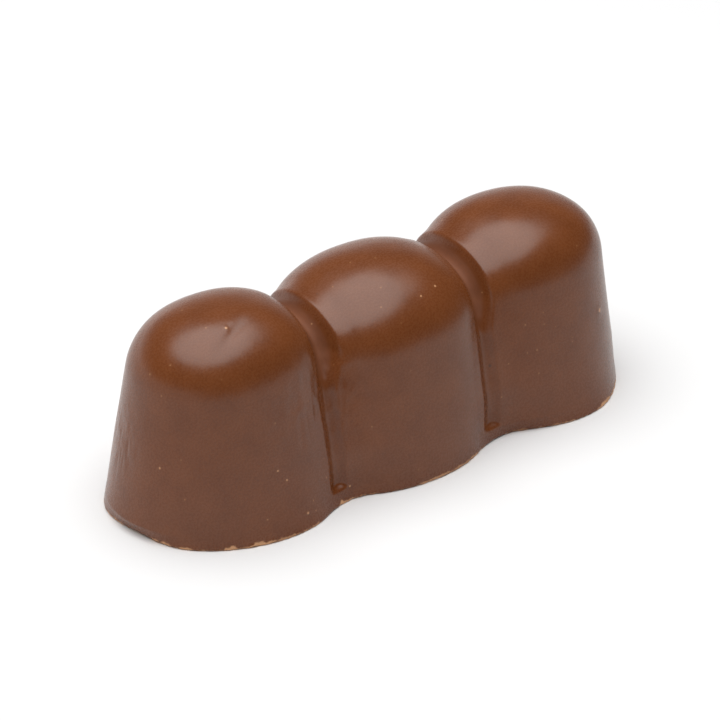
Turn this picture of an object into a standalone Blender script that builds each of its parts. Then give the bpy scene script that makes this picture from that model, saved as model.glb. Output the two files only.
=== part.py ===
"""Hazelnut praline: three domed lumps of milk chocolate in a row, moulded in one piece.

Units are metres.  +Z is up and +X runs along the row.  The praline stands on its flat
underside, and the origin is the middle of that underside.
"""

import math
from dataclasses import dataclass

import bmesh
import bpy
import numpy as np

MM = 0.001

# Driving dimensions, of the middle lump where a size differs between the lumps
PITCH = 14.0 * MM  # from one lump's axis to the next
HEIGHT = 16.00 * MM
DOME_RADIUS = 8.38 * MM  # along the row, at the height of the dome's centre
DOME_RISE = 6.02 * MM  # from the dome's centre to its top
DOME_POWER = 2.12  # of the dome's profile: 2 is an ellipse, more is fuller
WALL_DRAFT = math.radians(10.5)  # the lean of the walls under the domes
PLAN_RATIO = 0.873  # a lump's size across the row to its size along it
GROOVE_PLAN_POWER = 2.33  # of a dome's outline from above, on a side that meets a groove
END_PLAN_POWER = 2.10  # of the same outline at the free ends; 2 is an ellipse, more is squarer
PLAN_TURN_LOW = 0.5 * MM  # the outline turns from an ellipse at the foot to those powers
PLAN_TURN_HIGH = 4.5 * MM  # between these two heights
GROOVE_RADIUS = 2.91 * MM  # of the inside corner between two lumps
CHANNEL_WALL_DEPTH = 0.38 * MM  # of the channel along that corner
CHANNEL_DOME_DEPTH = 0.85 * MM
CHANNEL_EDGE = 0.17  # how softly the channel's sides turn out: 0 is a sharp edge
CHANNEL_TURN_LOW = 9.0 * MM  # a channel widens and deepens from the walls
CHANNEL_TURN_HIGH = 12.0 * MM  # to the domes between these two heights
CHANNEL_END_LOW = 0.9 * MM  # and it runs out between
CHANNEL_END_HIGH = 1.7 * MM  # these two heights
SWELL_HEIGHT = 5.0 * MM  # up to where a swell of the foot fades out
WEAR_HEIGHT = 1.1 * MM  # up to where a worn place fades out
FOOT_REACH = 8.8 * MM  # from a lump's axis out to the foot's edge, along the row
FOOT_RATIO = 0.9  # the same reach across the row to that along it
SWELL_WIDTH = 2.2 * MM  # of one swell or worn place
EDGE_RADIUS = 0.2 * MM  # of the edge round the underside
ROUND = 2.0  # the power of a true ellipse
TOP_REACH = 1.1  # share of the height up to which a lump goes on leaning
TINY = 0.001 * MM  # least distance that a power is taken of


@dataclass(frozen=True)
class Lump:
    """One domed lump: its axis and how its dome differs from the middle one's."""

    axis: float  # place along the row
    breadth: float  # its radius to the middle lump's
    tallness: float  # its height to the middle lump's
    power: float  # of its dome's profile
    lean: tuple  # how far its top stands to +X and +Y of its foot
    end: float  # the side along X that is a free end, -1 or 1, and 0 for none


@dataclass(frozen=True)
class Channel:
    """A channel between two lumps: its place along the row and half its width."""

    wall_place: float
    wall_reach: float
    dome_place: float
    dome_reach: float


@dataclass(frozen=True)
class Swell:
    """A place where the foot stands out or, if negative, is worn back."""

    lump: int
    direction: float  # seen from above, from +X towards +Y
    depth: float


LUMPS = (
    Lump(-PITCH, 0.900, 1.012, DOME_POWER + 0.26, (0.01 * MM, -0.02 * MM), -1.0),
    Lump(0.0, 1.000, 1.000, DOME_POWER, (0.63 * MM, -0.05 * MM), 0.0),
    Lump(PITCH, 0.925, 1.015, DOME_POWER + 0.25, (0.75 * MM, 0.11 * MM), 1.0),
)
LEFT, MIDDLE, RIGHT = range(3)

CHANNELS = (
    Channel(-8.25 * MM, 0.85 * MM, -7.60 * MM, 1.25 * MM),
    Channel(6.85 * MM, 0.90 * MM, 7.10 * MM, 1.15 * MM),
)

SWELLS = (
    Swell(LEFT, math.radians(163), 0.25 * MM),
    Swell(LEFT, math.radians(188), -0.77 * MM),
    Swell(LEFT, math.radians(263), 0.25 * MM),
    Swell(LEFT, math.radians(288), 0.58 * MM),
    Swell(MIDDLE, math.radians(268), -0.13 * MM),
    Swell(RIGHT, math.radians(245), -0.50 * MM),
    Swell(RIGHT, math.radians(268), 0.13 * MM),
    Swell(RIGHT, math.radians(292), 0.51 * MM),
    Swell(MIDDLE, math.radians(75), 0.15 * MM),
    Swell(RIGHT, math.radians(40), -0.15 * MM),
)

# How finely the surface is cut
END_STEPS = 28  # round each end of the row
ROW_STEPS = 52  # along each long side, between the outer lumps' axes
ROW_CROWDING = 0.5  # share by which those steps are closer at the grooves
FOOT_HEIGHTS = (0.0, 0.06 * MM, 0.2 * MM, 0.55 * MM, 0.9 * MM, 1.3 * MM, 1.9 * MM)
WALL_STEPS = 5  # from the foot up to the height of the dome's centre
DOME_STEPS = 13  # from that height over to the crest
RAY_START = 0.5 * MM
RAY_END = 20.0 * MM
HALVINGS = 34
TO_FRONT = math.radians(270)  # headings of the rays that leave across the row
TO_BACK = math.radians(90)
SHARP_ANGLE = math.radians(40)

# Milk chocolate, linear colour
CHOCOLATE = (0.19, 0.075, 0.036, 1.0)
CHOCOLATE_ROUGHNESS = 0.42


def wall_top(radius, power):
    """Radius of a dome, and height over its centre, where it turns into its wall."""
    slope = math.tan(WALL_DRAFT)
    ratio = (slope * DOME_RISE / radius) ** (power / (power - 1.0))
    reach = radius * (1.0 / (1.0 + ratio)) ** (1.0 / power)
    rise = DOME_RISE * (ratio / (1.0 + ratio)) ** (1.0 / power)
    return reach, rise


def lump_field(lump, x, y, z):
    """How far a point lies outside one lump; negative inside it."""
    radius = DOME_RADIUS * lump.breadth
    centre = HEIGHT * lump.tallness - DOME_RISE
    lean = np.clip(z / HEIGHT, 0.0, TOP_REACH) ** 2
    along = x - lump.lean[0] * lean - lump.axis
    across = (y - lump.lean[1] * lean) / PLAN_RATIO
    turn = smooth_step(PLAN_TURN_LOW, PLAN_TURN_HIGH, z)
    top_plan = np.where(along * lump.end > 0.0, END_PLAN_POWER, GROOVE_PLAN_POWER)
    plan = ROUND + (top_plan - ROUND) * turn
    reach = ((np.abs(along) + TINY) ** plan + (np.abs(across) + TINY) ** plan) ** (1.0 / plan)

    top_reach, top_rise = wall_top(radius, lump.power)
    wall_height = centre + top_rise
    wall_reach = top_reach + (wall_height - z) * math.tan(WALL_DRAFT)
    wall = (reach - wall_reach) * math.cos(WALL_DRAFT)

    out = np.maximum(reach, TINY) / radius
    up = np.maximum(z - centre, TINY) / DOME_RISE
    total = out**lump.power + up**lump.power
    level = total ** (1.0 / lump.power) - 1.0
    steepness = total ** (1.0 / lump.power - 1.0) * np.hypot(
        out ** (lump.power - 1.0) / radius, up ** (lump.power - 1.0) / DOME_RISE
    )
    return np.where(z > wall_height, level / steepness, wall)


def blend(first, second, radius):
    """Join two fields with a round inside corner."""
    overlap = np.maximum(radius - np.abs(first - second), 0.0) / radius
    depth = 1.0 + overlap - np.sqrt(1.0 - overlap * (overlap - 2.0))
    return np.minimum(first, second) - 0.5 * radius * depth


def smooth_step(low, high, value):
    """0 below low, 1 above high, and an even turn between."""
    share = np.clip((value - low) / (high - low), 0.0, 1.0)
    return share * share * (3.0 - 2.0 * share)


def foot_swell(x, y, z):
    """How far the uneven foot stands out at a point."""
    swell_fade = np.clip(1.0 - z / SWELL_HEIGHT, 0.0, 1.0) ** 2
    wear_fade = np.clip(1.0 - z / WEAR_HEIGHT, 0.0, 1.0)
    total = np.zeros_like(x)
    for swell in SWELLS:
        swell_x = LUMPS[swell.lump].axis + FOOT_REACH * math.cos(swell.direction)
        swell_y = FOOT_REACH * FOOT_RATIO * math.sin(swell.direction)
        distance = np.hypot(x - swell_x, y - swell_y)
        fade = swell_fade if swell.depth > 0.0 else wear_fade
        total += swell.depth * np.exp(-0.5 * (distance / SWELL_WIDTH) ** 2) * fade
    return total


def edge_inset(z):
    """How far the rounded bottom edge draws the wall in."""
    below = np.clip(EDGE_RADIUS - z, 0.0, EDGE_RADIUS)
    return EDGE_RADIUS - np.sqrt(EDGE_RADIUS**2 - below**2)


def channel_depth(x, z):
    """How deep the channels between the lumps are cut at a point."""
    turn = smooth_step(CHANNEL_TURN_LOW, CHANNEL_TURN_HIGH, z)
    depth = CHANNEL_WALL_DEPTH + (CHANNEL_DOME_DEPTH - CHANNEL_WALL_DEPTH) * turn
    total = np.zeros_like(x + z)
    for channel in CHANNELS:
        place = channel.wall_place + (channel.dome_place - channel.wall_place) * turn
        reach = channel.wall_reach + (channel.dome_reach - channel.wall_reach) * turn
        bowl = 1.0 - ((x - place) / reach) ** 2
        total += 0.5 * (bowl + np.sqrt(bowl**2 + CHANNEL_EDGE**2))
    return depth * total * smooth_step(CHANNEL_END_LOW, CHANNEL_END_HIGH, z)


def praline_field(x, y, z):
    """How far a point lies outside the praline; negative inside it."""
    field = lump_field(LUMPS[0], x, y, z)
    for lump in LUMPS[1:]:
        field = blend(field, lump_field(lump, x, y, z), GROOVE_RADIUS)
    return field + channel_depth(x, z) - foot_swell(x, y, z) + edge_inset(z)


def row_places():
    """Places along the row, from one outer axis to the other, closer at the grooves."""
    share = np.linspace(-1.0, 1.0, ROW_STEPS + 1)
    crowding = ROW_CROWDING * np.sin(2.0 * math.pi * share) / (2.0 * math.pi)
    return PITCH * (share + crowding)


def outline_stations():
    """Start along the row, heading and crest point of each station round the outline."""
    turn = np.linspace(0.0, math.pi, END_STEPS, endpoint=False)
    row = row_places()
    last = len(row) - 1
    stations = [(row[0], TO_BACK + angle, 0) for angle in turn]
    stations += [(row[step], TO_FRONT, step) for step in range(last)]
    stations += [(row[last], TO_FRONT + angle, last) for angle in turn]
    stations += [(row[step], TO_BACK, step) for step in range(last, 0, -1)]
    return stations


def ring_levels():
    """Height of each ring's centre, and how far its rays tilt up."""
    centre = HEIGHT - DOME_RISE
    walls = np.linspace(FOOT_HEIGHTS[-1], centre, WALL_STEPS + 1)[1:]
    tilts = np.linspace(0.0, 0.5 * math.pi, DOME_STEPS + 1)[1:-1]
    levels = [(height, 0.0) for height in FOOT_HEIGHTS]
    levels += [(height, 0.0) for height in walls]
    levels += [(centre, tilt) for tilt in tilts]
    return levels


def surface_points(start_x, start_z, heading, tilt):
    """Where rays from the middle plane of the praline leave it."""
    along = np.cos(tilt) * np.cos(heading)
    across = np.cos(tilt) * np.sin(heading)
    up = np.sin(tilt) + 0.0 * heading
    near = np.full(along.shape, RAY_START)
    far = np.full(along.shape, RAY_END)
    for _ in range(HALVINGS):
        middle = 0.5 * (near + far)
        field = praline_field(start_x + along * middle, across * middle, start_z + up * middle)
        near = np.where(field < 0.0, middle, near)
        far = np.where(field < 0.0, far, middle)
    points = (start_x + along * near, across * near, start_z + up * near)
    return np.stack(points, axis=-1)


def praline_mesh(name):
    """The whole praline as one closed mesh, centred on the origin."""
    stations = outline_stations()
    start_x, heading = (np.array([station[i] for station in stations])[None, :] for i in (0, 1))
    levels = ring_levels()
    start_z, tilt = (np.array([level[i] for level in levels])[:, None] for i in (0, 1))
    rings = surface_points(start_x, start_z, heading, tilt)

    row = row_places()
    straight_up = np.full(row.shape, 0.5 * math.pi)
    crest = surface_points(row, start_z[-1], np.zeros(row.shape), straight_up)

    middle = 0.5 * (rings.min(axis=(0, 1)) + rings.max(axis=(0, 1)))
    shift = np.array((middle[0], middle[1], 0.0))

    bm = bmesh.new()
    ring_verts = [[bm.verts.new(point - shift) for point in ring] for ring in rings]
    crest_verts = [bm.verts.new(point - shift) for point in crest]
    count = len(stations)
    for low, high in zip(ring_verts, ring_verts[1:]):
        for i in range(count):
            j = (i + 1) % count
            bm.faces.new((low[i], low[j], high[j], high[i]))
    for i in range(count):
        j = (i + 1) % count
        top_i = crest_verts[stations[i][2]]
        top_j = crest_verts[stations[j][2]]
        if top_i is top_j:
            bm.faces.new((ring_verts[-1][i], ring_verts[-1][j], top_i))
        else:
            bm.faces.new((ring_verts[-1][i], ring_verts[-1][j], top_j, top_i))
    bm.faces.new(reversed(ring_verts[0]))

    mesh = bpy.data.meshes.new(name)
    bm.to_mesh(mesh)
    bm.free()
    mesh.shade_smooth()
    mesh.set_sharp_from_angle(angle=SHARP_ANGLE)
    return mesh


def chocolate_material():
    """Milk chocolate with a satin skin."""
    material = bpy.data.materials.new("milk_chocolate")
    material.use_nodes = True
    shader = material.node_tree.nodes["Principled BSDF"]
    shader.inputs["Base Color"].default_value = CHOCOLATE
    shader.inputs["Roughness"].default_value = CHOCOLATE_ROUGHNESS
    shader.inputs["Metallic"].default_value = 0.0
    return material


def clear_scene():
    """Take away whatever objects the scene starts with."""
    for existing in list(bpy.data.objects):
        bpy.data.objects.remove(existing, do_unlink=True)


def main():
    clear_scene()
    mesh = praline_mesh("praline")
    mesh.materials.append(chocolate_material())
    praline = bpy.data.objects.new("praline", mesh)
    bpy.context.scene.collection.objects.link(praline)


main()
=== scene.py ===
"""The looks of the hazelnut praline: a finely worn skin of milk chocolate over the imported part.

Units are metres.  +Z is up and +X runs along the row of lumps.
"""

import math
from dataclasses import dataclass

import bpy
import numpy as np
from mathutils import Matrix, Vector
from mathutils.bvhtree import BVHTree


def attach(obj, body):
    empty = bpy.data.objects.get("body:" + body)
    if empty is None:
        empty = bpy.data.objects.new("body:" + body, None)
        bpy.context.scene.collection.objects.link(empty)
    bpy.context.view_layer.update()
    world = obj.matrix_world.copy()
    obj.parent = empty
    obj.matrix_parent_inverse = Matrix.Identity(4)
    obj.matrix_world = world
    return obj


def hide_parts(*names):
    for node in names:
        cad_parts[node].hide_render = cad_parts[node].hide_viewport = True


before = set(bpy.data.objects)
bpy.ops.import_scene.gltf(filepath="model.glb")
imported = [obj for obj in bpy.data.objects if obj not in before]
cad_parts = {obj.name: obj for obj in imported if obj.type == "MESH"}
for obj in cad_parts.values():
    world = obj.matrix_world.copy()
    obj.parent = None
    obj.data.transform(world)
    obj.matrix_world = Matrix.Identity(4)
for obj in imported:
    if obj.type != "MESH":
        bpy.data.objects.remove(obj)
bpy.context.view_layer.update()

MM = 0.001

# The praline's form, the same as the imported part's
PITCH = 14.0 * MM
HEIGHT = 16.00 * MM
DOME_RADIUS = 8.38 * MM
DOME_RISE = 6.02 * MM
DOME_POWER = 2.12
WALL_DRAFT = math.radians(10.5)
PLAN_RATIO = 0.873
GROOVE_PLAN_POWER = 2.33  # of a dome's outline from above, on a side that meets a groove
END_PLAN_POWER = 2.10  # of the same outline at the free ends; 2 is an ellipse, more is squarer
PLAN_TURN_LOW = 0.5 * MM  # the outline turns from an ellipse at the foot to those powers
PLAN_TURN_HIGH = 4.5 * MM  # between these two heights
GROOVE_RADIUS = 2.91 * MM  # of the inside corner between two lumps
CHANNEL_WALL_DEPTH = 0.38 * MM  # of the channel along that corner
CHANNEL_DOME_DEPTH = 0.85 * MM
CHANNEL_EDGE = 0.17  # how softly the channel's sides turn out: 0 is a sharp edge
CHANNEL_TURN_LOW = 9.0 * MM  # a channel widens and deepens from the walls
CHANNEL_TURN_HIGH = 12.0 * MM  # to the domes between these two heights
CHANNEL_END_LOW = 1.10 * MM  # and it runs out between these two heights,
CHANNEL_END_HIGH = 1.55 * MM  # a little more sharply than in the part
SWELL_HEIGHT = 5.0 * MM  # up to where a swell of the foot fades out
WEAR_HEIGHT = 1.1 * MM  # up to where a worn place fades out
FOOT_REACH = 8.8 * MM  # from a lump's axis out to the foot's edge, along the row
FOOT_RATIO = 0.9  # the same reach across the row to that along it
SWELL_WIDTH = 2.2 * MM  # of one swell or worn place
EDGE_RADIUS = 0.2 * MM  # of the rounded bottom edge
ROUND = 2.0  # the power of an ellipse
TOP_REACH = 1.1  # share of the height above which a dome leans no further
TINY = 0.001 * MM  # keeps the powers away from zero


@dataclass(frozen=True)
class Lump:
    """One domed lump: its axis, how its dome differs from the middle one's, and its free end."""

    axis: float
    breadth: float
    tallness: float
    power: float
    lean: tuple
    end: float


@dataclass(frozen=True)
class Channel:
    """A channel between two lumps: its place along the row and half its width."""

    wall_place: float
    wall_reach: float
    dome_place: float
    dome_reach: float


@dataclass(frozen=True)
class Swell:
    """A place where the foot stands out or, if negative, is worn back."""

    lump: int
    direction: float
    depth: float


LUMPS = (
    Lump(-PITCH, 0.900, 1.012, DOME_POWER + 0.26, (0.01 * MM, -0.02 * MM), -1.0),
    Lump(0.0, 1.000, 1.000, DOME_POWER, (0.63 * MM, -0.05 * MM), 0.0),
    Lump(PITCH, 0.925, 1.015, DOME_POWER + 0.25, (0.75 * MM, 0.11 * MM), 1.0),
)
LEFT, MIDDLE, RIGHT = range(3)

CHANNELS = (
    Channel(-8.25 * MM, 0.85 * MM, -7.60 * MM, 1.25 * MM),
    Channel(6.85 * MM, 0.90 * MM, 7.10 * MM, 1.15 * MM),
)

SWELLS = (
    Swell(LEFT, math.radians(163), 0.25 * MM),
    Swell(LEFT, math.radians(188), -0.77 * MM),
    Swell(LEFT, math.radians(263), 0.25 * MM),
    Swell(LEFT, math.radians(288), 0.58 * MM),
    Swell(MIDDLE, math.radians(268), -0.13 * MM),
    Swell(RIGHT, math.radians(245), -0.50 * MM),
    Swell(RIGHT, math.radians(268), 0.13 * MM),
    Swell(RIGHT, math.radians(292), 0.51 * MM),
    Swell(MIDDLE, math.radians(75), 0.15 * MM),
    Swell(RIGHT, math.radians(40), -0.15 * MM),
)

# How finely the skin is cut
END_STEPS = 190  # round each free end
ROW_STEPS = 180  # along each long side
ROW_CROWDING = 0.5  # how much closer these lie at the grooves
FOOT_RINGS = (  # heights in millimetres
    0.0, 0.03, 0.07, 0.12, 0.18, 0.26, 0.36, 0.48, 0.62, 0.78,
    0.92, 1.04, 1.14, 1.22, 1.30, 1.38, 1.46, 1.56, 1.70, 1.90,
)
WALL_STEPS = 42
DOME_STEPS = 56
SEEN_RING = 8  # above the rounded edge, where the normals tell which side is in view
UNDERSIDE_SHARES = (0.2, 0.4, 0.58, 0.72, 0.83, 0.9, 0.95, 0.98)  # of the way out to the edge
RAY_START = 0.5 * MM  # a ray from the middle plane meets the surface
RAY_END = 20.0 * MM  # between these two lengths
HALVINGS = 34
NORMAL_STEP = 0.02 * MM

# The camera, solved from the outline in the photo's frame of 720 by 720
FRAME_PIXELS = 720
CAMERA_AZIMUTH = math.radians(-36.999)
CAMERA_ELEVATION = math.radians(30.154)
CAMERA_ROLL = math.radians(0.109)
CAMERA_DISTANCE = 213.90 * MM
CAMERA_AIM_HEIGHT = 8.0 * MM
PIXELS_PER_METRE = 12697.0
AIM_ACROSS = 369.25
AIM_DOWN = 344.73
SENSOR_WIDTH = 36.0  # millimetres
CLIP_START = 0.01

# Soft studio light: a round softbox overhead in a dim studio that is paler low down
SOFTBOX_DISTANCE = 0.5
SOFTBOX_HALF_ANGLE = math.radians(36)
SOFTBOX_TO_LEFT = math.radians(4)
SOFTBOX_TO_FRONT = math.radians(1)
SOFTBOX_RADIANCE = 3.5
DIM = 0.04  # radiance all round, which the pale parts add to
PALE_LEFT = 1.0  # radiance of the low part to the left
PALE_RIGHT = 0.12  # and to the right
PALE_TURN = (-0.3, 0.6)  # share of left in a direction, where the right's turns to the left's
PALE_HEIGHTS = (0.10, 0.26)  # share of up in a direction, where the low part fades out
PALE_BEHIND = 0.34  # radiance of the band behind the praline
BAND_TO_LEFT = math.radians(22)
BAND_TURN = (0.3, 0.8)
BAND_HEIGHTS = (0.25, 0.55)

# The floor
FLOOR_HALF_WIDTH = 2.5
FLOOR_DROP = 0.01 * MM  # below the praline's underside
FLOOR_COLOUR = (0.82, 0.82, 0.82, 1.0)
FLOOR_ROUGHNESS = 0.9
FLOOR_GLOSS = 0.1

# Worn and wavy places in the skin
WAVE_HEIGHT = 0.024 * MM
WAVE_SIZE = 3.2 * MM
RIPPLE_HEIGHT = 0.0045 * MM
RIPPLE_SIZE = 0.8 * MM
WRINKLE_SIZE = 0.42 * MM
WRINKLE_STRETCH = 0.25  # width of an upright wrinkle to its length
FOOT_CALM = 1.0 * MM  # up to where the relief is fainter
FOOT_RELIEF = 0.2  # share of it that is left at the foot
SCRAPE_DEPTH = 0.025 * MM
SCRAPE_SIZE = 0.45 * MM
SCRAPE_STRETCH = 0.2  # width of a scrape mark to its length
HOLLOW_DEPTH = 0.06 * MM
HOLLOW_SIZE = 2.6 * MM
UNDERSIDE_EDGE = 0.8 * MM  # from the edge inwards, where the underside's marks fade in

# The foot's edge, chipped to bare chocolate
EDGE_STRIP = 0.14 * MM  # height of the bare strip where nothing is chipped
CHIP_HEIGHT = 0.42 * MM  # how much higher a full chip is
CHIP_SIZE = 0.7 * MM
CHIP_DRIFT_SIZE = 3.0 * MM
CHIP_FADE_OUTSIDE = 2.0  # pixels over which a chip in the photo starts and ends
CHIP_FADE_INSIDE = 1.0
SEEN_BARE, SEEN_BARE_SWING = 0.26, 0.28  # how bare the edge is between the photo's chips
HIDDEN_BARE, HIDDEN_BARE_SWING, HIDDEN_BARE_DRIFT = 0.34, 0.42, 0.34  # and out of its view
CHIP_BARE, CHIP_BARE_SWING = 0.8, 0.3
BARE_TOP_LOW = 0.4  # share of the bare height where it starts to fade
BARE_TOP_HIGH = 1.1  # and where it has faded out
RAGGED_SIZE = 0.35 * MM
RAGGEDNESS = 0.35
LEAST_BARE = 0.35
CRUMBLE_HEIGHT = 0.07 * MM
CRUMBLE_SIZE = 0.22 * MM

# Seeds of the random heights
WAVE_SEED = 11
RIPPLE_SEED = 12
WRINKLE_SEED = 13
SCRAPE_SEED = 21
HOLLOW_SEED = 22
CHIP_SEED = 31
CHIP_DRIFT_SEED = 32
RAGGED_SEED = 33
CRUMBLE_SEED = 34
LATTICE_COUNT = 256

# Milk chocolate, linear colours
CHOCOLATE_DEEP = (0.140, 0.039, 0.0100, 1.0)
CHOCOLATE_PALE = (0.172, 0.051, 0.0145, 1.0)
BARE_CHOCOLATE = (0.64, 0.34, 0.17, 1.0)
# Dark specks in the chocolate; the same dark colour is also painted shade on a pit in the right
# groove
DARK_SPECK_AND_PIT_SHADE = (0.055, 0.022, 0.012, 1.0)
SCRAPED_CHOCOLATE = (0.26, 0.115, 0.050, 1.0)
REFRACTION = 1.45
ROUGHNESS_LOW = 0.24
ROUGHNESS_HIGH = 0.31
CHANNEL_DULLNESS = 0.45  # added to the roughness
BARE_DULLNESS = 0.25
SCRAPED_DULLNESS = 0.18
BUMP_HEIGHT = 0.004 * MM

# The material's patterns: how many cells to a millimetre, and how strong they are
CLOUD_CELLS = 0.45
GRAIN_CELLS = 5.5
FLECK_CELLS = 5.5
SCRAPE_CELLS = 2.2
BUMP_CELLS = 4.5
SPECK_CELLS = 1.15
CLOUD_SHARE = 0.6  # of the clouds in the mottling; the rest is grain
PALE_SPECK_STRENGTH = 0.45
DARK_SPECK_STRENGTH = 0.35
MARK_STRENGTH = 0.8
FLECK_STRENGTH = 1.3
FLAT = 0.5  # the mean of a pattern

# Where the values of those patterns turn from one look to the other
MOTTLE_TURN = (0.3, 0.7)
SPECK_TURN = (0.05, 0.10)
PALE_SPECK_LUCK = (0.72, 0.80)
DARK_SPECK_LUCK = (0.94, 0.97)
MARK_TURN = (0.6, 1.15)  # shares of a mark's radius
BARE_TURN = (0.38, 0.56)
BARE_START = (0.05, 0.25)
CHIP_TURN = (0.45, 0.85)
CHIP_PALENESS = (0.40, 1.0)
SCRAPE_TURN = (0.35, 0.7)
SCRAPE_PALENESS = (0.15, 0.6)
GRAIN_TURN = (0.25, 0.75)
CHANNEL_TURN = (0.42, 0.78)


@dataclass(frozen=True)
class Chip:
    """A stretch of the foot's edge chipped to bare chocolate, in pixels across the photo."""

    left: float
    right: float
    strength: float


CHIPS = (
    Chip(104, 113, 0.45),
    Chip(113, 126, 0.75),
    Chip(126, 154, 0.40),
    Chip(154, 160, 1.00),
    Chip(163, 177, 0.60),
    Chip(178, 193, 0.95),
    Chip(196, 222, 0.35),
    Chip(225, 237, 1.05),
    Chip(237, 246, 0.45),
    Chip(246, 276, 0.90),
    Chip(276, 318, 0.55),
    Chip(340, 352, 0.85),
    Chip(352, 420, 0.40),
    Chip(420, 462, 0.60),
    Chip(462, 476, 0.75),
    Chip(550, 575, 0.60),
    Chip(575, 600, 0.30),
    Chip(600, 614, 0.85),
)


@dataclass(frozen=True)
class Sight:
    """A mark on the skin, from one pixel of the photo to another, which may be the same."""

    kind: str
    across: float
    down: float
    to_across: float
    to_down: float
    radius: float
    depth: float


SIGHTS = (
    Sight("streak", 227, 341, 239, 326, 0.34 * MM, 0.17 * MM),
    Sight("crumb", 226, 328, 226, 328, 0.12 * MM, 0.03 * MM),
    Sight("crumb", 599, 308, 599, 312, 0.20 * MM, 0.05 * MM),
    Sight("pale", 435, 286, 435, 286, 0.10 * MM, 0.0),
    Sight("pale", 421, 296, 421, 296, 0.09 * MM, 0.0),
    Sight("crumb", 160, 468, 160, 468, 0.11 * MM, 0.03 * MM),
    Sight("pale", 278, 471, 278, 471, 0.09 * MM, 0.0),
    Sight("pale", 287, 480, 287, 480, 0.10 * MM, 0.0),
    Sight("crumb", 308, 513, 308, 513, 0.12 * MM, 0.03 * MM),
    Sight("pale", 350, 486, 350, 486, 0.09 * MM, 0.0),
    # Painted shade: a dark colour where a pit lies in the right groove's wall, with no hollow cut
    # into the skin
    Sight("dark", 490, 366, 490, 366, 0.14 * MM, 0.0),
    Sight("dark", 317, 294, 317, 294, 0.08 * MM, 0.0),
    Sight("wrinkles", 311, 376, 314, 424, 0.9 * MM, 0.10 * MM),
    Sight("wrinkles", 120, 424, 120, 452, 0.8 * MM, 0.10 * MM),
    Sight("streak", 457, 368, 466, 380, 0.08 * MM, 0.020 * MM),
)


@dataclass
class Mark:
    """A mark found on the surface: what it is, where it lies and how big it is."""

    kind: str
    centre: np.ndarray
    radius: float
    width: float
    depth: float
    direction: np.ndarray


def smooth_step(low, high, value):
    """0 below low, 1 above high, and an even turn between."""
    share = np.clip((value - low) / (high - low), 0.0, 1.0)
    return share * share * (3.0 - 2.0 * share)


def wall_top(radius, power):
    """Radius of a dome, and height over its centre, where it turns into its wall."""
    slope = math.tan(WALL_DRAFT)
    ratio = (slope * DOME_RISE / radius) ** (power / (power - 1.0))
    reach = radius * (1.0 / (1.0 + ratio)) ** (1.0 / power)
    rise = DOME_RISE * (ratio / (1.0 + ratio)) ** (1.0 / power)
    return reach, rise


def lump_field(lump, x, y, z):
    """How far a point lies outside one lump; negative inside it."""
    radius = DOME_RADIUS * lump.breadth
    centre = HEIGHT * lump.tallness - DOME_RISE
    lean = np.clip(z / HEIGHT, 0.0, TOP_REACH) ** 2
    along = x - lump.lean[0] * lean - lump.axis
    across = (y - lump.lean[1] * lean) / PLAN_RATIO
    turn = smooth_step(PLAN_TURN_LOW, PLAN_TURN_HIGH, z)
    top_plan = np.where(along * lump.end > 0.0, END_PLAN_POWER, GROOVE_PLAN_POWER)
    plan = ROUND + (top_plan - ROUND) * turn
    reach = ((np.abs(along) + TINY) ** plan + (np.abs(across) + TINY) ** plan) ** (1.0 / plan)

    top_reach, top_rise = wall_top(radius, lump.power)
    wall_height = centre + top_rise
    wall_reach = top_reach + (wall_height - z) * math.tan(WALL_DRAFT)
    wall = (reach - wall_reach) * math.cos(WALL_DRAFT)

    out = np.maximum(reach, TINY) / radius
    up = np.maximum(z - centre, TINY) / DOME_RISE
    total = out**lump.power + up**lump.power
    level = total ** (1.0 / lump.power) - 1.0
    steepness = total ** (1.0 / lump.power - 1.0) * np.hypot(
        out ** (lump.power - 1.0) / radius, up ** (lump.power - 1.0) / DOME_RISE
    )
    return np.where(z > wall_height, level / steepness, wall)


def blend(first, second, radius):
    """Join two fields with a round inside corner."""
    overlap = np.maximum(radius - np.abs(first - second), 0.0) / radius
    depth = 1.0 + overlap - np.sqrt(1.0 - overlap * (overlap - 2.0))
    return np.minimum(first, second) - 0.5 * radius * depth


def foot_swell(x, y, z):
    """How far the uneven foot stands out at a point."""
    swell_fade = np.clip(1.0 - z / SWELL_HEIGHT, 0.0, 1.0) ** 2
    wear_fade = np.clip(1.0 - z / WEAR_HEIGHT, 0.0, 1.0)
    total = np.zeros_like(x)
    for swell in SWELLS:
        swell_x = LUMPS[swell.lump].axis + FOOT_REACH * math.cos(swell.direction)
        swell_y = FOOT_REACH * FOOT_RATIO * math.sin(swell.direction)
        distance = np.hypot(x - swell_x, y - swell_y)
        fade = swell_fade if swell.depth > 0.0 else wear_fade
        total += swell.depth * np.exp(-0.5 * (distance / SWELL_WIDTH) ** 2) * fade
    return total


def edge_inset(z):
    """How far the rounded bottom edge draws the wall in."""
    below = np.clip(EDGE_RADIUS - z, 0.0, EDGE_RADIUS)
    return EDGE_RADIUS - np.sqrt(EDGE_RADIUS**2 - below**2)


def channel_depth(x, z):
    """How deep the channels between the lumps are cut at a point."""
    turn = smooth_step(CHANNEL_TURN_LOW, CHANNEL_TURN_HIGH, z)
    depth = CHANNEL_WALL_DEPTH + (CHANNEL_DOME_DEPTH - CHANNEL_WALL_DEPTH) * turn
    total = np.zeros_like(x + z)
    for channel in CHANNELS:
        place = channel.wall_place + (channel.dome_place - channel.wall_place) * turn
        reach = channel.wall_reach + (channel.dome_reach - channel.wall_reach) * turn
        bowl = 1.0 - ((x - place) / reach) ** 2
        total += 0.5 * (bowl + np.sqrt(bowl**2 + CHANNEL_EDGE**2))
    return depth * total * smooth_step(CHANNEL_END_LOW, CHANNEL_END_HIGH, z)


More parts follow.
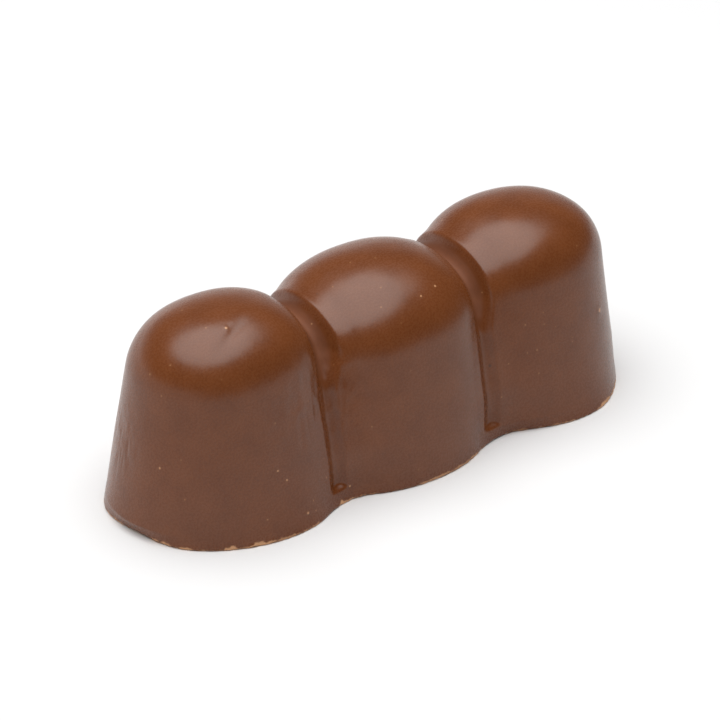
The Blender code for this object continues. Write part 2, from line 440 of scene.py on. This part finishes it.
def praline_field(x, y, z):
    """How far a point lies outside the praline; negative inside it."""
    field = lump_field(LUMPS[0], x, y, z)
    for lump in LUMPS[1:]:
        field = blend(field, lump_field(lump, x, y, z), GROOVE_RADIUS)
    return field + channel_depth(x, z) - foot_swell(x, y, z) + edge_inset(z)


def row_places():
    """Places along the row, from one outer axis to the other, closer at the grooves."""
    share = np.linspace(-1.0, 1.0, ROW_STEPS + 1)
    crowding = ROW_CROWDING * np.sin(2.0 * math.pi * share) / (2.0 * math.pi)
    return PITCH * (share + crowding)


def outline_stations():
    """Start along the row, heading and crest point of each station round the outline."""
    turn = np.linspace(0.0, math.pi, END_STEPS, endpoint=False)
    row = row_places()
    last = len(row) - 1
    front = -0.5 * math.pi
    back = 0.5 * math.pi
    stations = [(row[0], back + angle, 0) for angle in turn]
    stations += [(row[step], front, step) for step in range(last)]
    stations += [(row[last], front + angle, last) for angle in turn]
    stations += [(row[step], back, step) for step in range(last, 0, -1)]
    return stations


def ring_levels():
    """Height of each ring's centre, and how far its rays tilt up."""
    centre = HEIGHT - DOME_RISE
    foot = [height * MM for height in FOOT_RINGS]
    walls = np.linspace(foot[-1], centre, WALL_STEPS + 1)[1:]
    tilts = np.linspace(0.0, 0.5 * math.pi, DOME_STEPS + 1)[1:-1]
    levels = [(height, 0.0) for height in foot]
    levels += [(height, 0.0) for height in walls]
    levels += [(centre, tilt) for tilt in tilts]
    return levels


def surface_points(start_x, start_z, heading, tilt):
    """Where rays from the middle plane of the praline leave it."""
    along = np.cos(tilt) * np.cos(heading)
    across = np.cos(tilt) * np.sin(heading)
    up = np.sin(tilt) + 0.0 * heading
    near = np.full(along.shape, RAY_START)
    far = np.full(along.shape, RAY_END)
    for _ in range(HALVINGS):
        middle = 0.5 * (near + far)
        field = praline_field(start_x + along * middle, across * middle, start_z + up * middle)
        near = np.where(field < 0.0, middle, near)
        far = np.where(field < 0.0, far, middle)
    points = (start_x + along * near, across * near, start_z + up * near)
    return np.stack(points, axis=-1)


def skin_normals(points):
    """Outward direction of the form at each point."""
    parts = []
    for axis in range(3):
        move = np.zeros(3)
        move[axis] = NORMAL_STEP
        ahead = praline_field(*np.moveaxis(points + move, -1, 0))
        behind = praline_field(*np.moveaxis(points - move, -1, 0))
        parts.append(ahead - behind)
    normal = np.stack(parts, axis=-1)
    return normal / np.linalg.norm(normal, axis=-1, keepdims=True)


def lattice_noise(points, size, seed):
    """Smooth random heights from -1 to 1 whose bumps are about one size across."""
    random = np.random.default_rng(seed)
    order = random.permutation(LATTICE_COUNT)
    order = np.concatenate([order, order, order])
    heights = random.uniform(-1.0, 1.0, LATTICE_COUNT)
    scaled = points / size
    cell = np.floor(scaled).astype(int)
    part = scaled - cell
    part = part * part * part * (part * (part * 6.0 - 15.0) + 10.0)
    cell = np.mod(cell, LATTICE_COUNT)
    total = np.zeros(points.shape[:-1])
    for corner in range(8):
        bits = np.array((corner & 1, (corner >> 1) & 1, (corner >> 2) & 1))
        weight = np.prod(np.where(bits == 1, part, 1.0 - part), axis=-1)
        place = np.mod(cell + bits, LATTICE_COUNT)
        key = order[order[order[place[..., 0]] + place[..., 1]] + place[..., 2]]
        total += weight * heights[key]
    return total


def underside_rise(points, edge_distance):
    """Low marks in the scraped underside, all of them upwards and none at its edge."""
    stretched = points * np.array((SCRAPE_STRETCH, 1.0, 1.0))
    scrapes = np.abs(lattice_noise(stretched, SCRAPE_SIZE, SCRAPE_SEED))
    hollows = np.clip(lattice_noise(points, HOLLOW_SIZE, HOLLOW_SEED), 0.0, 1.0)
    inward = smooth_step(0.0, UNDERSIDE_EDGE, edge_distance)
    return (SCRAPE_DEPTH * scrapes + HOLLOW_DEPTH * hollows) * inward


class View:
    """The photo's camera: from a pixel to a ray, and from a point to a pixel."""

    def __init__(self, shift):
        level = math.cos(CAMERA_ELEVATION)
        self.back = np.array((
            math.sin(CAMERA_AZIMUTH) * level,
            -math.cos(CAMERA_AZIMUTH) * level,
            math.sin(CAMERA_ELEVATION),
        ))
        right = np.array((math.cos(CAMERA_AZIMUTH), math.sin(CAMERA_AZIMUTH), 0.0))
        up = np.cross(self.back, right)
        self.right = right * math.cos(CAMERA_ROLL) + up * math.sin(CAMERA_ROLL)
        self.up = up * math.cos(CAMERA_ROLL) - right * math.sin(CAMERA_ROLL)
        self.middle = 0.5 * FRAME_PIXELS
        self.focal = PIXELS_PER_METRE * CAMERA_DISTANCE
        self.place = (
            np.array((0.0, 0.0, CAMERA_AIM_HEIGHT)) - shift
            + self.back * CAMERA_DISTANCE
            - self.right * (AIM_ACROSS - self.middle) / PIXELS_PER_METRE
            + self.up * (AIM_DOWN - self.middle) / PIXELS_PER_METRE
        )

    def ray(self, across, down):
        """Direction from the camera through a pixel."""
        direction = (
            self.right * (across - self.middle) / self.focal
            - self.up * (down - self.middle) / self.focal
            - self.back
        )
        return direction / np.linalg.norm(direction)

    def pixels_across(self, points):
        """How far across the photo points show."""
        away = points - self.place
        return self.middle + self.focal * (away @ self.right) / -(away @ self.back)

    def faces(self, points, normals):
        """Whether a surface at each point is turned to the camera."""
        return ((self.place - points) * normals).sum(axis=-1) > 0.0


class Skin:
    """The praline's fine surface: rings of points up from the foot, and the crest."""

    def __init__(self):
        self.stations = outline_stations()
        start_x, heading = (
            np.array([station[i] for station in self.stations])[None, :] for i in (0, 1)
        )
        levels = ring_levels()
        start_z, tilt = (np.array([level[i] for level in levels])[:, None] for i in (0, 1))
        rings = surface_points(start_x, start_z, heading, tilt)
        row = row_places()
        straight_up = np.full(row.shape, 0.5 * math.pi)
        crest = surface_points(row, start_z[-1], np.zeros(row.shape), straight_up)
        middle = 0.5 * (rings.min(axis=(0, 1)) + rings.max(axis=(0, 1)))
        self.shift = np.array((middle[0], middle[1], 0.0))
        nought = 0.0 * start_x[0]
        self.starts = np.stack([start_x[0], nought, nought], axis=-1) - self.shift
        self.middle_line = np.stack([row, 0.0 * row, 0.0 * row], axis=-1) - self.shift
        self.normals = skin_normals(rings)
        self.crest_normals = skin_normals(crest)
        self.rings = rings - self.shift
        self.crest = crest - self.shift
        self.crest_of = [station[2] for station in self.stations]

    def faces_from(self, first, rings):
        """Faces between rings of vertices that follow one another."""
        count = len(self.stations)
        faces = []
        for ring in range(len(rings) - 1):
            low = first + ring * count
            high = low + count
            for i in range(count):
                j = (i + 1) % count
                faces.append((low + i, low + j, high + j, high + i))
        return faces


def edge_chips(skin, view):
    """How far the foot is chipped to bare chocolate at each station, from 0 to 1."""
    foot = skin.rings[0]
    across = view.pixels_across(foot)
    seen = view.faces(skin.rings[SEEN_RING], skin.normals[SEEN_RING])
    swing = lattice_noise(foot, CHIP_SIZE, CHIP_SEED)
    drift = lattice_noise(foot, CHIP_DRIFT_SIZE, CHIP_DRIFT_SEED)
    hidden_bare = HIDDEN_BARE + HIDDEN_BARE_DRIFT * drift + HIDDEN_BARE_SWING * swing
    seen_bare = np.clip(SEEN_BARE + SEEN_BARE_SWING * swing, 0.0, 1.0)
    for chip in CHIPS:
        start = smooth_step(chip.left - CHIP_FADE_OUTSIDE, chip.left + CHIP_FADE_INSIDE, across)
        end = smooth_step(chip.right - CHIP_FADE_INSIDE, chip.right + CHIP_FADE_OUTSIDE, across)
        share = start * (1.0 - end)
        strength = chip.strength * (CHIP_BARE + CHIP_BARE_SWING * swing)
        seen_bare = np.maximum(seen_bare, share * strength)
    return np.where(seen, seen_bare, np.clip(hidden_bare, 0.0, 1.0))


def bare_shares(skin, view):
    """How bare each point of the rings is, from 0 to 1."""
    chips = edge_chips(skin, view)[None, :]
    height = skin.rings[:, :, 2] / (EDGE_STRIP + chips * CHIP_HEIGHT)
    ragged = lattice_noise(skin.rings, RAGGED_SIZE, RAGGED_SEED)
    faded = smooth_step(BARE_TOP_LOW, BARE_TOP_HIGH, height + RAGGEDNESS * ragged)
    return (1.0 - faded) * (LEAST_BARE + (1.0 - LEAST_BARE) * chips)


def find_marks(skin, view):
    """The marks of the photo, found on the surface along rays from its camera."""
    points = np.concatenate([*skin.rings, skin.crest])
    tree = BVHTree.FromPolygons(points.tolist(), skin.faces_from(0, skin.rings))
    marks = []
    for sight in SIGHTS:
        ends = []
        for across, down in ((sight.across, sight.down), (sight.to_across, sight.to_down)):
            hit = tree.ray_cast(Vector(view.place), Vector(view.ray(across, down)))[0]
            ends.append(np.array(hit))
        centre = 0.5 * (ends[0] + ends[1])
        direction = ends[1] - ends[0]
        length = np.linalg.norm(direction)
        direction = direction / length if length > 0.0 else np.array((0.0, 0.0, 1.0))
        radius = sight.radius + 0.5 * length
        marks.append(Mark(sight.kind, centre, radius, sight.radius, sight.depth, direction))
    return marks


def spot_share(points, centre, radius):
    """1 at a spot's centre, falling to 0 around its radius."""
    distance = np.linalg.norm(points - centre, axis=-1)
    return np.exp(-0.5 * (distance / radius) ** 2)


def streak_share(points, mark):
    """1 along the middle of a streak, falling to 0 around its ends and sides."""
    away = points - mark.centre
    lengthways = away @ mark.direction
    sideways = np.sqrt(np.maximum((away * away).sum(axis=-1) - lengthways**2, 0.0))
    return np.exp(-0.5 * (lengthways / mark.radius) ** 2 - 0.5 * (sideways / mark.width) ** 2)


def skin_relief(points, marks):
    """How far worn and wavy places stand out of the moulded form."""
    rise = WAVE_HEIGHT * lattice_noise(points, WAVE_SIZE, WAVE_SEED)
    rise += RIPPLE_HEIGHT * lattice_noise(points, RIPPLE_SIZE, RIPPLE_SEED)
    for mark in marks:
        if mark.kind == "wrinkles":
            upright = points * np.array((1.0, 1.0, WRINKLE_STRETCH))
            folds = np.abs(lattice_noise(upright, WRINKLE_SIZE, WRINKLE_SEED))
            rise -= mark.depth * folds * spot_share(points, mark.centre, mark.radius)
        if mark.kind == "streak":
            rise -= mark.depth * streak_share(points, mark)
        if mark.kind == "crumb":
            rise += mark.depth * spot_share(points, mark.centre, mark.radius)
    return rise


def channel_shares(skin, points):
    """How deep in a channel points lie, from 0 to 1 over the domes."""
    placed = points + skin.shift
    return channel_depth(placed[..., 0], placed[..., 2]) / CHANNEL_DOME_DEPTH


def store(mesh, name, values):
    """Keep one number for each vertex under a name that the material reads."""
    attribute = mesh.attributes.new(name, "FLOAT", "POINT")
    attribute.data.foreach_set("value", values.astype(np.float32))


def build_mesh(name, skin, marks, bare):
    """One closed mesh from the crest, the rings and a scraped underside."""
    relief = skin_relief(skin.rings, marks)
    calm = smooth_step(0.0, FOOT_CALM, skin.rings[:, :, 2])
    relief *= calm * (1.0 - FOOT_RELIEF) + FOOT_RELIEF
    relief += CRUMBLE_HEIGHT * lattice_noise(skin.rings, CRUMBLE_SIZE, CRUMBLE_SEED) * bare
    raised = skin.rings + skin.normals * relief[..., None]
    raised[..., 2] = np.maximum(raised[..., 2], 0.0)
    raised[0, :, 2] = 0.0
    raised_crest = skin.crest + skin.crest_normals * skin_relief(skin.crest, marks)[:, None]

    outer = raised[0]
    under_rings = [skin.starts + (outer - skin.starts) * share for share in UNDERSIDE_SHARES]
    for ring in under_rings:
        ring[:, 2] = underside_rise(ring, np.linalg.norm(outer - ring, axis=1))
    under_line = skin.middle_line.copy()
    under_line[:, 2] = underside_rise(under_line, np.full(len(under_line), UNDERSIDE_EDGE))

    count = len(skin.stations)
    rings = [*under_rings, *raised]
    points = np.concatenate([under_line, *rings, raised_crest])
    first = len(under_line)
    last = first + (len(rings) - 1) * count
    crest = last + count
    faces = skin.faces_from(first, rings)
    for i in range(count):
        j = (i + 1) % count
        a, b = skin.crest_of[i], skin.crest_of[j]
        if a == b:
            faces.append((a, first + j, first + i))
            faces.append((last + i, last + j, crest + a))
        else:
            faces.append((a, b, first + j, first + i))
            faces.append((last + i, last + j, crest + b, crest + a))

    mesh = bpy.data.meshes.new(name)
    mesh.from_pydata(points.tolist(), [], faces)
    mesh.update()
    mesh.shade_smooth()
    under_count = first + len(under_rings) * count
    bare_edge, scraped, channel = np.zeros((3, len(points)))
    bare_edge[under_count:crest] = bare.ravel()
    bare_edge[under_count - count:under_count] = bare[0]
    scraped[:under_count] = 1.0
    channel[under_count:crest] = channel_shares(skin, skin.rings).ravel()
    channel[crest:] = channel_shares(skin, skin.crest)
    store(mesh, "bare_edge", bare_edge)
    store(mesh, "scraped", scraped)
    store(mesh, "channel", channel)
    return mesh


class Nodes:
    """A short way to write the nodes of a material or a world."""

    def __init__(self, owner, shader="Principled BSDF"):
        owner.use_nodes = True
        self.tree = owner.node_tree
        self.shader = self.tree.nodes[shader]

    def link(self, source, target):
        """Lead an output to an input."""
        self.tree.links.new(source, target)

    def put(self, value, socket):
        """Lead an output to an input, or set the input to a plain value."""
        if isinstance(value, bpy.types.NodeSocket):
            self.link(value, socket)
        else:
            socket.default_value = value

    def new(self, kind, settings=None, **inputs):
        """A node with some settings and inputs."""
        node = self.tree.nodes.new(kind)
        for key, value in (settings or {}).items():
            setattr(node, key, value)
        for key, value in inputs.items():
            self.put(value, node.inputs[key])
        return node

    def math(self, operation, first, second, clamp=False):
        """Two values joined by an operation."""
        node = self.new("ShaderNodeMath", {"operation": operation, "use_clamp": clamp})
        self.put(first, node.inputs[0])
        self.put(second, node.inputs[1])
        return node.outputs[0]

    def times(self, first, second):
        """The product of two values."""
        return self.math("MULTIPLY", first, second)

    def plus(self, first, second, clamp=False):
        """The sum of two values."""
        return self.math("ADD", first, second, clamp)

    def vector(self, operation, first, second):
        """The node that joins an output to a plain vector by an operation."""
        node = self.new("ShaderNodeVectorMath", {"operation": operation}, Vector=first)
        node.inputs[1].default_value = second
        return node

    def noise(self, vector, scale, detail, roughness):
        """Soft random values around a half."""
        node = self.new(
            "ShaderNodeTexNoise", Vector=vector, Scale=scale, Detail=detail, Roughness=roughness
        )
        return node.outputs["Fac"]

    def between(self, value, low, high, out_low=0.0, out_high=1.0):
        """An even turn from out_low at low to out_high at high."""
        node = self.new("ShaderNodeMapRange", {"interpolation_type": "SMOOTHSTEP"}, Value=value)
        limits = {"From Min": low, "From Max": high, "To Min": out_low, "To Max": out_high}
        for key, number in limits.items():
            node.inputs[key].default_value = number
        return node.outputs["Result"]

    def mix(self, share, first, second):
        """A colour that turns from the first to the second as the share rises."""
        node = self.new("ShaderNodeMix", {"data_type": "RGBA"})
        for place, value in ((0, share), (6, first), (7, second)):
            self.put(value, node.inputs[place])
        return node.outputs[2]

    def stored(self, name):
        """A number kept for each vertex of the mesh."""
        return self.new("ShaderNodeAttribute", {"attribute_name": name}).outputs["Fac"]


def speckled(nodes, in_mm, colour):
    """A colour with pale and dark specks strewn over it."""
    cells = nodes.new("ShaderNodeTexVoronoi", Vector=in_mm, Scale=SPECK_CELLS)
    luck = nodes.new("ShaderNodeSeparateColor", Color=cells.outputs["Color"])
    near = nodes.between(cells.outputs["Distance"], *SPECK_TURN, 1.0, 0.0)
    pale = nodes.times(near, nodes.between(luck.outputs["Red"], *PALE_SPECK_LUCK))
    dark = nodes.times(near, nodes.between(luck.outputs["Green"], *DARK_SPECK_LUCK))
    colour = nodes.mix(nodes.times(pale, PALE_SPECK_STRENGTH), colour, BARE_CHOCOLATE)
    return nodes.mix(nodes.times(dark, DARK_SPECK_STRENGTH), colour, DARK_SPECK_AND_PIT_SHADE)


def marked(nodes, in_mm, grain, colour, marks):
    """A colour with the photo's own specks and crumbs on it, and painted shade on a pit."""
    for mark in marks:
        if mark.kind not in ("pale", "dark", "crumb"):
            continue
        size = mark.width / MM
        away = nodes.vector("DISTANCE", in_mm, tuple(mark.centre / MM)).outputs["Value"]
        uneven = nodes.plus(away, nodes.times(nodes.math("SUBTRACT", grain, FLAT), size))
        near, far = MARK_TURN
        share = nodes.between(uneven, near * size, far * size, 1.0, 0.0)
        # a dark mark takes the dark speck colour, which at the pit in the right groove is painted
        # shade
        tint = DARK_SPECK_AND_PIT_SHADE if mark.kind == "dark" else BARE_CHOCOLATE
        colour = nodes.mix(nodes.times(share, MARK_STRENGTH), colour, tint)
    return colour


def chocolate_material(marks):
    """Milk chocolate: a satin skin with faint clouds, grain, specks and a bare chipped edge."""
    material = bpy.data.materials.new("milk_chocolate")
    nodes = Nodes(material)
    place = nodes.new("ShaderNodeTexCoord").outputs["Object"]
    in_mm = nodes.new(
        "ShaderNodeVectorMath", {"operation": "SCALE"}, Vector=place, Scale=1.0 / MM
    ).outputs[0]

    clouds = nodes.noise(in_mm, CLOUD_CELLS, 3.0, 0.55)
    grain = nodes.noise(in_mm, GRAIN_CELLS, 2.0, 0.6)
    mottling = nodes.plus(nodes.times(clouds, CLOUD_SHARE), nodes.times(grain, 1.0 - CLOUD_SHARE))
    colour = nodes.mix(nodes.between(mottling, *MOTTLE_TURN), CHOCOLATE_DEEP, CHOCOLATE_PALE)
    colour = speckled(nodes, in_mm, colour)
    colour = marked(nodes, in_mm, grain, colour, marks)

    edge = nodes.stored("bare_edge")
    flecks = nodes.math("SUBTRACT", nodes.noise(in_mm, FLECK_CELLS, 4.0, 0.75), FLAT)
    uneven_edge = nodes.plus(edge, nodes.times(flecks, FLECK_STRENGTH))
    bare = nodes.times(nodes.between(uneven_edge, *BARE_TURN), nodes.between(edge, *BARE_START))
    paleness = nodes.between(edge, *CHIP_TURN, *CHIP_PALENESS)
    colour = nodes.mix(nodes.times(bare, paleness), colour, BARE_CHOCOLATE)

    scraped = nodes.stored("scraped")
    stretched = nodes.vector("MULTIPLY", in_mm, (SCRAPE_STRETCH, 1.0, 1.0)).outputs[0]
    streaks = nodes.noise(stretched, SCRAPE_CELLS, 4.0, 0.6)
    dull = nodes.times(scraped, nodes.between(streaks, *SCRAPE_TURN, *SCRAPE_PALENESS))
    colour = nodes.mix(dull, colour, SCRAPED_CHOCOLATE)
    nodes.link(colour, nodes.shader.inputs["Base Color"])

    rough = nodes.between(grain, *GRAIN_TURN, ROUGHNESS_LOW, ROUGHNESS_HIGH)
    rough = nodes.plus(rough, nodes.times(bare, BARE_DULLNESS))
    in_channel = nodes.between(nodes.stored("channel"), *CHANNEL_TURN)
    rough = nodes.plus(rough, nodes.times(in_channel, CHANNEL_DULLNESS))
    rough = nodes.plus(rough, nodes.times(scraped, SCRAPED_DULLNESS), clamp=True)
    nodes.link(rough, nodes.shader.inputs["Roughness"])

    fine = nodes.noise(in_mm, BUMP_CELLS, 3.0, 0.65)
    bump = nodes.new("ShaderNodeBump", Strength=1.0, Distance=BUMP_HEIGHT, Height=fine)
    nodes.link(bump.outputs["Normal"], nodes.shader.inputs["Normal"])
    nodes.shader.inputs["IOR"].default_value = REFRACTION
    return material


def make_camera(view):
    """The camera that took the photo, solved from the praline's outline."""
    data = bpy.data.cameras.new("camera")
    data.sensor_width = SENSOR_WIDTH
    data.lens = view.focal / FRAME_PIXELS * SENSOR_WIDTH
    data.clip_start = CLIP_START
    camera = bpy.data.objects.new("camera", data)
    turn = Matrix((view.right, view.up, view.back)).transposed().to_4x4()
    camera.matrix_world = Matrix.Translation(Vector(view.place)) @ turn
    bpy.context.scene.collection.objects.link(camera)
    bpy.context.scene.camera = camera


def make_floor():
    """A plain pale floor."""
    half = FLOOR_HALF_WIDTH
    mesh = bpy.data.meshes.new("floor")
    mesh.from_pydata(
        [(-half, -half, 0.0), (half, -half, 0.0), (half, half, 0.0), (-half, half, 0.0)],
        [], [(0, 1, 2, 3)],
    )
    material = bpy.data.materials.new("floor")
    material.use_nodes = True
    shader = material.node_tree.nodes["Principled BSDF"]
    shader.inputs["Base Color"].default_value = FLOOR_COLOUR
    shader.inputs["Roughness"].default_value = FLOOR_ROUGHNESS
    shader.inputs["Specular IOR Level"].default_value = FLOOR_GLOSS
    mesh.materials.append(material)
    floor = bpy.data.objects.new("floor", mesh)
    floor.location.z = -FLOOR_DROP
    bpy.context.scene.collection.objects.link(floor)


def make_light():
    """A big round softbox overhead."""
    data = bpy.data.lights.new("softbox", "AREA")
    data.shape = "DISK"
    radius = SOFTBOX_DISTANCE * math.tan(SOFTBOX_HALF_ANGLE)
    data.size = 2.0 * radius
    data.energy = SOFTBOX_RADIANCE * math.pi * math.pi * radius**2
    softbox = bpy.data.objects.new("softbox", data)
    left = Vector((-math.cos(CAMERA_AZIMUTH), -math.sin(CAMERA_AZIMUTH), 0.0))
    front = Vector((math.sin(CAMERA_AZIMUTH), -math.cos(CAMERA_AZIMUTH), 0.0))
    direction = Vector((0.0, 0.0, 1.0))
    direction += left * math.tan(SOFTBOX_TO_LEFT) + front * math.tan(SOFTBOX_TO_FRONT)
    direction.normalize()
    softbox.location = direction * SOFTBOX_DISTANCE
    softbox.rotation_euler = direction.to_track_quat("Z", "Y").to_euler()
    bpy.context.scene.collection.objects.link(softbox)


def make_surroundings():
    """A dim studio with a pale part low down, palest to the left, and a pale band behind."""
    world = bpy.data.worlds.new("studio")
    bpy.context.scene.world = world
    nodes = Nodes(world, "Background")
    direction = nodes.new("ShaderNodeTexCoord").outputs["Generated"]
    height = nodes.new("ShaderNodeSeparateXYZ", Vector=direction).outputs["Z"]

    left = (-math.cos(CAMERA_AZIMUTH), -math.sin(CAMERA_AZIMUTH), 0.0)
    leftness = nodes.vector("DOT_PRODUCT", direction, left).outputs["Value"]
    low = nodes.between(height, *PALE_HEIGHTS, 1.0, 0.0)
    pale = nodes.times(nodes.between(leftness, *PALE_TURN, PALE_RIGHT, PALE_LEFT), low)

    band_turn = CAMERA_AZIMUTH + BAND_TO_LEFT
    behind = (-math.sin(band_turn), math.cos(band_turn), 0.0)
    backness = nodes.vector("DOT_PRODUCT", direction, behind).outputs["Value"]
    band_low = nodes.between(height, *BAND_HEIGHTS, 1.0, 0.0)
    band = nodes.times(nodes.between(backness, *BAND_TURN), band_low)

    radiance = nodes.plus(nodes.plus(pale, nodes.times(band, PALE_BEHIND)), DIM)
    nodes.link(radiance, nodes.shader.inputs["Color"])
    nodes.shader.inputs["Strength"].default_value = 1.0


def main():
    """Build the praline's skin, the camera, the floor and the light."""
    scene = bpy.context.scene
    scene.view_settings.view_transform = "Standard"
    skin = Skin()
    view = View(skin.shift)
    marks = find_marks(skin, view)
    mesh = build_mesh("praline_skin", skin, marks, bare_shares(skin, view))
    mesh.materials.append(chocolate_material(marks))
    piece = bpy.data.objects.new("praline_skin", mesh)
    scene.collection.objects.link(piece)
    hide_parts("praline")
    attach(piece, "root")
    make_camera(view)
    make_floor()
    make_light()
    make_surroundings()


main()
